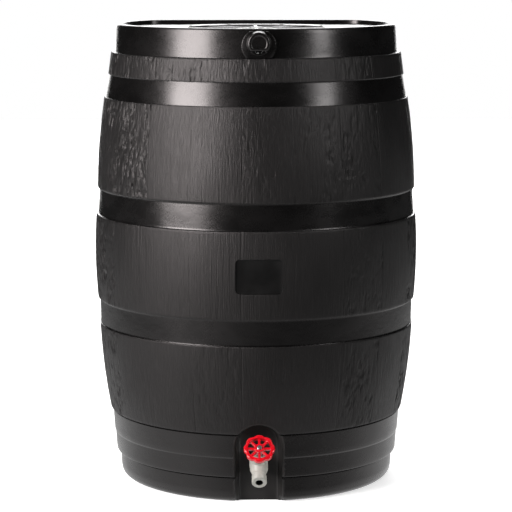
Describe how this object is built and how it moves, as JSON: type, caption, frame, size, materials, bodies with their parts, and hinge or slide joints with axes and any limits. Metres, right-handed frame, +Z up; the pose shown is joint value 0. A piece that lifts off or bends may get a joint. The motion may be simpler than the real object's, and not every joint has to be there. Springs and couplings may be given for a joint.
{
  "type": "rain barrel",
  "caption": "Flat-backed stave-pattern rain barrel with a hose tap in a front alcove, a hooded overflow and a lift-out top screen.",
  "frame": {"origin": "on the ground, on the axis of the barrel's round front", "axes": "+Z up, -Y towards the front with the tap, +Y towards the flat back, +X to the right as seen from the front"},
  "size_m": [0.6052, 0.5037, 0.851],
  "materials": {
    "barrel_plastic": "moulded polyethylene, fine wood grain on the staves, semi-gloss hoops",
    "tap_plastic": "satin",
    "wheel_plastic": "glossy",
    "overflow_plastic": "semi-gloss",
    "screw_steel": "bright",
    "seal_rubber": "matte",
    "stem_brass": "machined",
    "packing_fibre": "matte",
    "screen_plastic": "satin",
    "mesh_fibre": "woven, satin"
  },
  "bodies": {
    "barrel": {"barrel_shell": "barrel_plastic", "spigot_body": "tap_plastic", "spigot_outer_washer": "seal_rubber", "spigot_inner_washer": "seal_rubber", "spigot_lock_nut": "tap_plastic", "spigot_bonnet": "tap_plastic", "bonnet_gasket": "seal_rubber", "packing_nut": "tap_plastic", "stem_packing": "packing_fibre", "overflow_fitting": "overflow_plastic", "overflow_gasket": "seal_rubber", "overflow_lock_nut": "overflow_plastic"},
    "valve_disc": {"disc_holder": "stem_brass", "seat_washer": "seal_rubber", "seat_washer_screw": "screw_steel"},
    "handwheel": {"valve_stem": "stem_brass", "handwheel": "wheel_plastic", "handwheel_washer": "screw_steel", "handwheel_screw": "screw_steel"},
    "screen": {"screen_frame": "screen_plastic", "screen_mesh": "mesh_fibre", "mesh_retaining_ring": "screen_plastic", "screen_screws": "screw_steel"}
  },
  "joints": [
    {"name": "screen_lift", "type": "slide", "parent": "barrel", "child": "screen", "axis": [0, 0, 1], "range_m": [0, 0.08]},
    {"name": "valve_travel", "type": "slide", "parent": "barrel", "child": "valve_disc", "axis": [0, -0.7071, 0.7071], "range_m": [0, 0.0075]},
    {"name": "handwheel_turn", "type": "hinge", "parent": "valve_disc", "child": "handwheel", "pos_m": [0, -0.27, 0.075], "axis": [0, -0.7071, 0.7071], "range_deg": [0, 900]}
  ],
  "couplings": [
    {"joint": "valve_travel", "follows": "handwheel_turn", "m_per_rad": 0.00047746}
  ]
}
